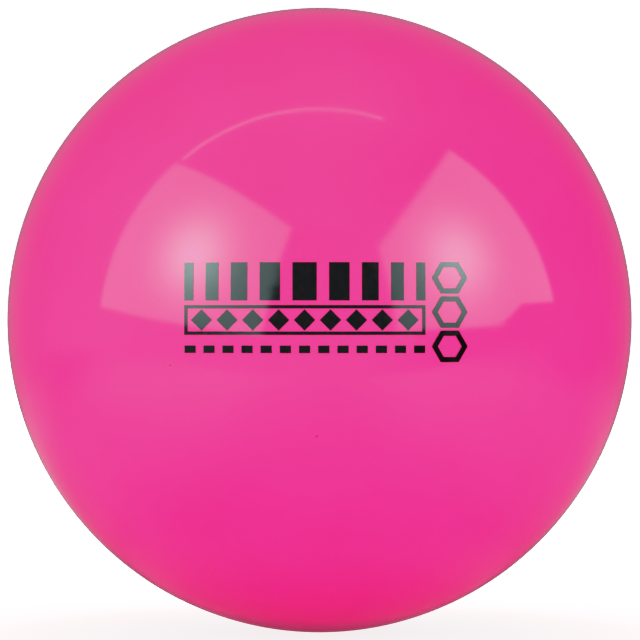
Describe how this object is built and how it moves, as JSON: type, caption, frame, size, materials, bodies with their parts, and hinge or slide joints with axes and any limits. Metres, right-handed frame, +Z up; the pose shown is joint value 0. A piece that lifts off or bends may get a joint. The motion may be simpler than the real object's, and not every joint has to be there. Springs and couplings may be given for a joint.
{
  "type": "field hockey ball",
  "caption": "Smooth round field hockey ball: a glossy moulded plastic cover in two cups over a quilted cork and yarn centre, with a plain printed mark.",
  "frame": {"origin": "the ball's centre", "axes": "+Z up; the printed mark faces -Y, so the parting plane of the two cover cups is the XZ plane and -Y is the front cup's pole"},
  "size_m": [0.073, 0.073, 0.073],
  "materials": {
    "cover_plastic": "polished",
    "ink": "gloss",
    "cork_rubber": "matte",
    "cork": "matte",
    "yarn": "matte",
    "twine": "matte",
    "bonding_latex": "satin"
  },
  "bodies": {
    "root": {"core_nucleus": "cork_rubber", "binding_twine": "twine", "bonding_coat": "bonding_latex", "cover_cup_front": "cover_plastic", "cover_cup_back": "cover_plastic", "printed_mark": "ink", "cork_slips_1": "cork", "yarn_winding_1": "yarn", "cork_slips_2": "cork", "yarn_winding_2": "yarn", "cork_slips_3": "cork", "yarn_winding_3": "yarn", "cork_slips_4": "cork", "yarn_winding_4": "yarn", "cork_slips_5": "cork", "yarn_winding_5": "yarn"}
  },
  "joints": []
}
